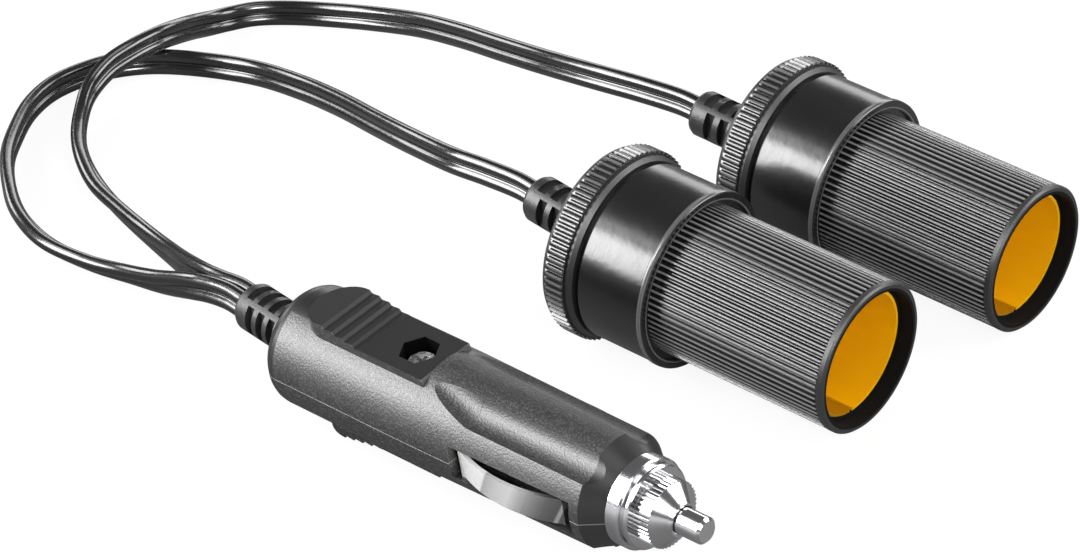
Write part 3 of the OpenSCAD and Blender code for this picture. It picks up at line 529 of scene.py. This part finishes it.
def chrome_finish(choice):
    """Plating with fine turning marks, and painted shade in the hollows of the cap's knurls."""
    chrome = Finish("chrome_plating", "plug", Base_Color=choice.chrome, Metallic=1.0)
    x, y, z = chrome.parts()
    marks = chrome.noise(1.0, 3, 0.6, chrome.stretched((14, 0.6, 0.6)))
    knurled = x.above(KNURL_BACK, SOFT) * x.below(KNURL_FRONT, SOFT)
    # Painted shade in the hollows between the knurls
    painted_knurl_shade = y.crests(z, CAP_KNURLS).below(-0.35, 0.5)
    chrome.set("Base Color", chrome.mix(painted_knurl_shade * knurled * 0.8, choice.chrome, (0.1, 0.1, 0.105)))
    chrome.set("Roughness", 0.09 + 0.1 * marks)
    chrome.bump(marks, 0.004)
    return chrome


def steel_finish(choice):
    """Drawn strip with a painted reflection: light and dark stretches that slant a little along its bow; it is
    less metallic towards its back.
    """
    steel = Finish("bright_spring_steel", "plug", Base_Color=choice.steel, Metallic=1.0)
    x, _, z = steel.parts()
    marks = steel.noise(1.0, 3, 0.6, steel.stretched((0.5, 6, 6)))
    # Painted reflection: stretches of the strip are darkened and lightened along its length
    place = (x - z * 0.5 - CONTACT_BACK) / CONTACT_SPAN
    steel.set("Base Color", steel.mix(steel.ramp(place, CONTACT_PAINTED_REFLECTION), (0, 0, 0), choice.steel))
    steel.set("Metallic", 0.4 + 0.5 * place.above(0.65, 0.6))
    steel.set("Roughness", 0.14 + 0.16 * marks)
    steel.bump(marks, 0.006)
    return steel


def zinc_finish(choice):
    """Coarse, patchy plating."""
    zinc = Finish("zinc_fastener", "plug", Base_Color=choice.zinc, Metallic=1.0, Roughness=0.35)
    rough = zinc.noise(1.9, 4, 0.75)
    zinc.set("Base Color", zinc.mix(rough.above(0.46, 0.2), (0.2, 0.2, 0.2), choice.zinc))
    zinc.bump(rough, 0.4)
    return zinc


def brass_finish(choice):
    """Brass that has darkened in clouds."""
    brass = Finish("brass_strip", None, Base_Color=choice.brass, Metallic=1.0)
    cloud = brass.noise(0.7, 4, 0.6)
    brass.set("Base Color", brass.mix(cloud, choice.brass, (0.55, 0.36, 0.14)))
    brass.set("Roughness", 0.2 + 0.2 * cloud)
    return brass


def collar_finish(side, choice):
    """Glossy moulding with a painted highlight along its bead and along the edge in front of it."""
    gloss = Finish(side + "_collar_gloss", side, Base_Color=choice.moulding, IOR=1.9)
    x, y, z = gloss.parts()
    radius = y.off_axis(z)
    cloud = gloss.noise(0.12, 4, 0.6)
    marks = gloss.noise(1.0, 3, 0.6, gloss.stretched((3, 0.1, 0.1)))
    bead = abs(x - BEAD_X).below(BEAD_HALF_WIDTH, 0.12) * radius.above(BEAD_INNER_RADIUS, 0.08)
    edge = abs(radius - EDGE_RADIUS).below(EDGE_HALF_WIDTH, 0.08) * x.above(EDGE_X, HARD)
    # Painted highlight: the bead and the edge in front of it are lighter
    gloss.set("Base Color", gloss.mix((bead + edge) * (0.4 + 0.6 * cloud), choice.moulding, choice.worn_and_highlight))
    gloss.set("Roughness", choice.gloss + 0.1 * cloud + 0.06 * marks)
    gloss.bump(cloud * 3 + marks * 0.2, 0.03)
    return gloss


def ribbed_finish(name, side, choice, ridges, groove, front, relief, crest):
    """Moulding whose ridges have rounded crests with a painted highlight, and which is dull and black inside the
    tube as painted shade.
    """
    ribbed = Finish(name, side, Base_Color=choice.moulding, IOR=2.0)
    x, y, z = ribbed.parts()
    radius = y.off_axis(z)
    outside = radius.above(groove, SOFT) * x.below(front, SOFT)
    crown = y.crests(z, ridges)
    grain = ribbed.noise(2.5, 3, 0.6)
    # Painted highlight along the middle of each crest
    painted_crest_highlight = crown.above(0.45, 0.8) * outside
    ribbed.set("Base Color", ribbed.mix(painted_crest_highlight, choice.moulding, (crest, crest, crest)))
    ribbed.set("Roughness", 0.17 + 0.14 * grain + 0.2 * (1 - outside))
    ribbed.bump(crown * outside + grain * 0.15, relief)
    # Painted shade: inside the tube the moulding is a dull black
    inside = radius.below(BORE_RADIUS, SOFT)
    ribbed.over(inside, Base_Color=(0.003, 0.003, 0.0033), Roughness=0.8, IOR=1.3)
    return ribbed


def sleeve_finish(side, choice):
    """Amber with a faint grain round it, and painted shade over the quarter below its axis on the own -Y side."""
    amber = Finish(side + "_amber_sleeve", side, Base_Color=choice.amber)
    _, y, z = amber.parts()
    grain = amber.noise(0.5, 3, 0.5, amber.stretched((0.2, 1, 1)))
    # Painted shade over the lower quarter on the own -Y side
    painted_shade = (0 - y).above(0.1, 0.3) * (0 - z).above(0, 0.5)
    tone = amber.mix(grain * 0.25, choice.amber, (0.6, 0.25, 0.005))
    amber.set("Base Color", amber.mix(painted_shade * 0.7, tone, (0.2, 0.06, 0.0)))
    amber.set("Roughness", 0.3 + 0.15 * grain)
    return amber


def disc_finish(side, choice):
    """Pressed fibre with dark flecks."""
    disc = Finish(side + "_fibre_disc", side, Base_Color=choice.fibre, Roughness=0.7)
    flecks = disc.noise(2, 5, 0.7)
    disc.set("Base Color", disc.mix(flecks, choice.fibre, (0.16, 0.07, 0.02)))
    disc.bump(flecks, 0.05)
    return disc


def floor_finish(choice):
    """Paper that glows white for the camera and through the glass, keeps a share of its own light and so the
    part's shadow, and is painted grey as shade where a glossy face mirrors it: darkest by the plug's side and
    lighter far in front of it."""
    paper = Finish("floor_paper", None, Base_Color=choice.floor, Roughness=0.9, Specular_IOR_Level=0.0)
    _, y, _ = paper.parts()
    path = paper.node("ShaderNodeLightPath").socket.node
    seen, glossy, through = (
        Wire(paper, path.outputs[name]) for name in ("Is Camera Ray", "Is Glossy Ray", "Is Transmission Ray")
    )
    tone = paper.mix(paper.noise(0.02, 3) * 0.06, choice.floor, (0.85, 0.85, 0.85))
    # Painted shade in what glossy faces mirror of the floor: darkest by the plug's side, lightest far in front
    mirrored = paper.mix(y.above(PLUG_SIDE_Y, 6), choice.mirrored_close, choice.mirrored)
    mirrored = paper.mix(y.below(OPEN_FLOOR_Y, 50), mirrored, choice.mirrored_far)
    paper.set("Base Color", paper.mix(glossy, tone, mirrored))
    glow = paper.node("ShaderNodeEmission", inputs={"Color": (1, 1, 1), "Strength": GLOW})
    paper.blend(GLOW_SEEN * seen + GLOW_MIRRORED * glossy + GLOW_THROUGH * through, glow)
    return paper


# ---------------------------------------------------------------- operators


class SPLITTER_OT_camera(bpy.types.Operator):
    """Sets the camera at the photograph's angle"""

    bl_idname = "splitter.camera"
    bl_label = "Camera"

    def execute(self, context):
        # the line of sight falls by the elevation, is turned from +Y, and meets the floor at the look point
        elevation, turn, far = math.radians(27.923), math.radians(43.70), 791.366 * MM
        look = Vector((-40.41, 7.39, 0)) * MM
        level = math.cos(elevation)
        ahead = Vector((-math.sin(turn) * level, math.cos(turn) * level, -math.sin(elevation)))
        data = bpy.data.cameras.new("camera")
        data.sensor_width = 36
        data.lens = 152.6
        data.clip_start, data.clip_end = 0.05, 20
        camera = bpy.data.objects.new("camera", data)
        camera.location = look - ahead * far
        camera.rotation_mode = "QUATERNION"
        camera.rotation_quaternion = ahead.to_track_quat("-Z", "Y")
        context.scene.collection.objects.link(camera)
        context.scene.camera = camera
        return {"FINISHED"}


class SPLITTER_OT_leads(bpy.types.Operator):
    """Makes the two twin leads"""

    bl_idname = "splitter.leads"
    bl_label = "Leads"

    def execute(self, context):
        choice = context.scene.splitter_leads
        jacket = Finish("lead_jacket", Base_Color=choice.jacket, IOR=2.1)
        jacket.set("Roughness", choice.gloss + 0.08 * jacket.noise(0.35, 3))
        jacket.bump(jacket.noise(0.5, 2) + jacket.noise(9, 2) * 0.05, 0.03)
        core = choice.width / MM / 4  # a core's radius, in the routes' millimetres
        for side, route in (("near", NEAR_ROUTE), ("far", FAR_ROUTE)):
            line, points, faces = twin_lead(route, core, choice.web)
            piece = skin(side + "_lead", points * MM, faces, jacket, "housing")
            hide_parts(side + "_cable")
            path = line * MM
        return {"FINISHED"}


class SPLITTER_OT_grip(bpy.types.Operator):
    """Gives the plug's two shells their grained moulding, smooth faces and joint line"""

    bl_idname = "splitter.grip"
    bl_label = "Plug grip"

    def execute(self, context):
        wear(("plug_upper_shell", "plug_lower_shell"), grip_finish(context.scene.splitter_plug))
        return {"FINISHED"}


class SPLITTER_OT_metal(bpy.types.Operator):
    """Gives the chrome nose, side contacts, fasteners and inner strips their metals"""

    bl_idname = "splitter.metal"
    bl_label = "Metal pieces"

    def execute(self, context):
        choice = context.scene.splitter_metal
        strips = ["plug_terminal", "ground_strip"]
        contacts = ["contact_right", "contact_left"]
        for side in ("near", "far"):
            strips += [side + "_stud", side + "_tag_plus", side + "_tag_minus"]
            contacts += [side + "_washer", side + "_nut"]
        wear(("nose_ring", "nose_cap", "centre_pin", "fuse_caps"), chrome_finish(choice))
        wear(contacts, steel_finish(choice))
        wear(("shell_screw", "shell_nut"), zinc_finish(choice))
        wear(strips, brass_finish(choice))
        return {"FINISHED"}


class SPLITTER_OT_fuse(bpy.types.Operator):
    """Makes the spring behind the fuse, and gives the fuse's tube its glass"""

    bl_idname = "splitter.fuse"
    bl_label = "Fuse and spring"

    def execute(self, context):
        glass = Finish("fuse_glass", "plug", Base_Color=(0.93, 0.97, 0.96), Transmission_Weight=0.9, IOR=1.5)
        glass.set("Roughness", 0.03 + 0.05 * glass.noise(0.8, 2))
        wear(("fuse_glass",), glass)

        wire = Finish("spring_wire", "plug", Base_Color=context.scene.splitter_metal.wire, Metallic=1.0)
        wire.set("Roughness", 0.22 + 0.15 * wire.noise(3, 3))
        low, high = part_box("contact_spring")
        (x, _, _), _ = PLACES["plug"]
        start, end = (low.x - x) / MM, (high.x - x) / MM
        points, faces = coil(SPRING_RADIUS, SPRING_WIRE, start, end, SPRING_TURNS)
        spring = skin("spring", placed(points, "plug"), faces, wire, "housing")
        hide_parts("contact_spring")
        left = 1 - PIN_PUSH / (end - start)
        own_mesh(spring)
        return {"FINISHED"}


class SPLITTER_OT_sockets(bpy.types.Operator):
    """Gives both sockets' housings, sleeves and inner discs their finishes"""

    bl_idname = "splitter.sockets"
    bl_label = "Sockets"

    def execute(self, context):
        choice = context.scene.splitter_sockets
        for side in ("near", "far"):
            wear((side + "_collar",), collar_finish(side, choice))
            for part, *ribs in RIBBED:
                name = side + "_" + part
                wear((name,), ribbed_finish(name + "_moulding", side, choice, *ribs))
            wear((side + "_sleeve",), sleeve_finish(side, choice))
            wear((side + "_insulator",), disc_finish(side, choice))
        return {"FINISHED"}


class SPLITTER_OT_reliefs(bpy.types.Operator):
    """Gives the three strain reliefs their rubber"""

    bl_idname = "splitter.reliefs"
    bl_label = "Strain reliefs"

    def execute(self, context):
        choice = context.scene.splitter_leads
        rubber = Finish("relief_rubber", None, Base_Color=choice.jacket, IOR=1.7)
        grain = rubber.noise(1.8, 4, 0.6)
        rubber.set("Base Color", rubber.mix(grain, choice.jacket, choice.worn_and_highlight))
        rubber.set("Roughness", 0.3 + 0.16 * grain)
        rubber.bump(grain, 0.04)
        wear(("plug_boot", "near_boot", "far_boot"), rubber)
        return {"FINISHED"}


class SPLITTER_OT_stage(bpy.types.Operator):
    """Lays the floor and hangs the lights"""

    bl_idname = "splitter.stage"
    bl_label = "Floor and lights"

    def execute(self, context):
        choice = context.scene.splitter_stage
        self.lay_floor(context, choice)
        self.light_world(context, choice)
        for lamp in LAMPS:
            self.hang(context, choice, *lamp)
        context.scene.view_settings.view_transform = "Standard"
        return {"FINISHED"}

    def lay_floor(self, context, choice):
        corners = [(x * FLOOR_REACH, y * FLOOR_REACH, 0) for x, y in ((-1, -1), (1, -1), (1, 1), (-1, 1))]
        mesh = bpy.data.meshes.new("floor")
        mesh.from_pydata(corners, [], [(0, 1, 2, 3)])
        mesh.materials.append(floor_finish(choice).material)
        floor = bpy.data.objects.new("floor", mesh)
        context.scene.collection.objects.link(floor)

    def light_world(self, context, choice):
        """Even light from all round, which the camera and the glass see as white."""
        world = bpy.data.worlds.new("studio")
        world.use_nodes = True
        context.scene.world = world
        nodes, links = world.node_tree.nodes, world.node_tree.links
        background = nodes["Background"]
        background.inputs["Color"].default_value = (1, 1, 1, 1)
        path = nodes.new("ShaderNodeLightPath")
        seen = nodes.new("ShaderNodeMath")
        seen.operation = "MAXIMUM"
        links.new(path.outputs["Is Camera Ray"], seen.inputs[0])
        links.new(path.outputs["Is Transmission Ray"], seen.inputs[1])
        strength = nodes.new("ShaderNodeMapRange")
        strength.inputs["To Min"].default_value = choice.ambient
        strength.inputs["To Max"].default_value = 1.0
        links.new(seen.outputs[0], strength.inputs["Value"])
        links.new(strength.outputs[0], background.inputs["Strength"])

    def hang(self, context, choice, name, way, far, wide, high, setting, part):
        """Hangs a rectangular lamp that faces the part, with a share of the setting as its radiance."""
        lamp = bpy.data.lights.new(name, "AREA")
        lamp.shape = "RECTANGLE"
        lamp.size, lamp.size_y = wide, high
        lamp.energy = part * getattr(choice, setting) * math.pi * wide * high
        stand = bpy.data.objects.new(name, lamp)
        way = Vector(way).normalized()
        stand.location = LAMP_AIM + way * far
        stand.rotation_mode = "QUATERNION"
        stand.rotation_quaternion = (-way).to_track_quat("-Z", "Y")
        context.scene.collection.objects.link(stand)


OPERATORS = (
    SPLITTER_OT_camera,
    SPLITTER_OT_leads,
    SPLITTER_OT_grip,
    SPLITTER_OT_metal,
    SPLITTER_OT_fuse,
    SPLITTER_OT_sockets,
    SPLITTER_OT_reliefs,
    SPLITTER_OT_stage,
)


class SPLITTER_PT_panel(bpy.types.Panel):
    """Lists the pieces with their sizes and colours"""

    bl_idname = "SPLITTER_PT_panel"
    bl_label = "Power socket splitter"
    bl_space_type = "VIEW_3D"
    bl_region_type = "UI"
    bl_category = "Splitter"

    def draw(self, context):
        layout = self.layout
        for group in GROUPS:
            box = layout.box()
            settings = getattr(context.scene, group)
            for name in settings.__annotations__:
                box.prop(settings, name)
        for operator in OPERATORS:
            layout.operator(operator.bl_idname)


CLASSES = (*GROUPS.values(), *OPERATORS, SPLITTER_PT_panel)


def register():
    for item in CLASSES:
        bpy.utils.register_class(item)
    for name, group in GROUPS.items():
        setattr(bpy.types.Scene, name, PointerProperty(type=group))


def unregister():
    for name in GROUPS:
        delattr(bpy.types.Scene, name)
    for item in reversed(CLASSES):
        bpy.utils.unregister_class(item)


def main():
    register()
    for operator in OPERATORS:
        group, name = operator.bl_idname.split(".")
        getattr(getattr(bpy.ops, group), name)()
    bpy.context.view_layer.update()


if __name__ == "__main__":
    main()
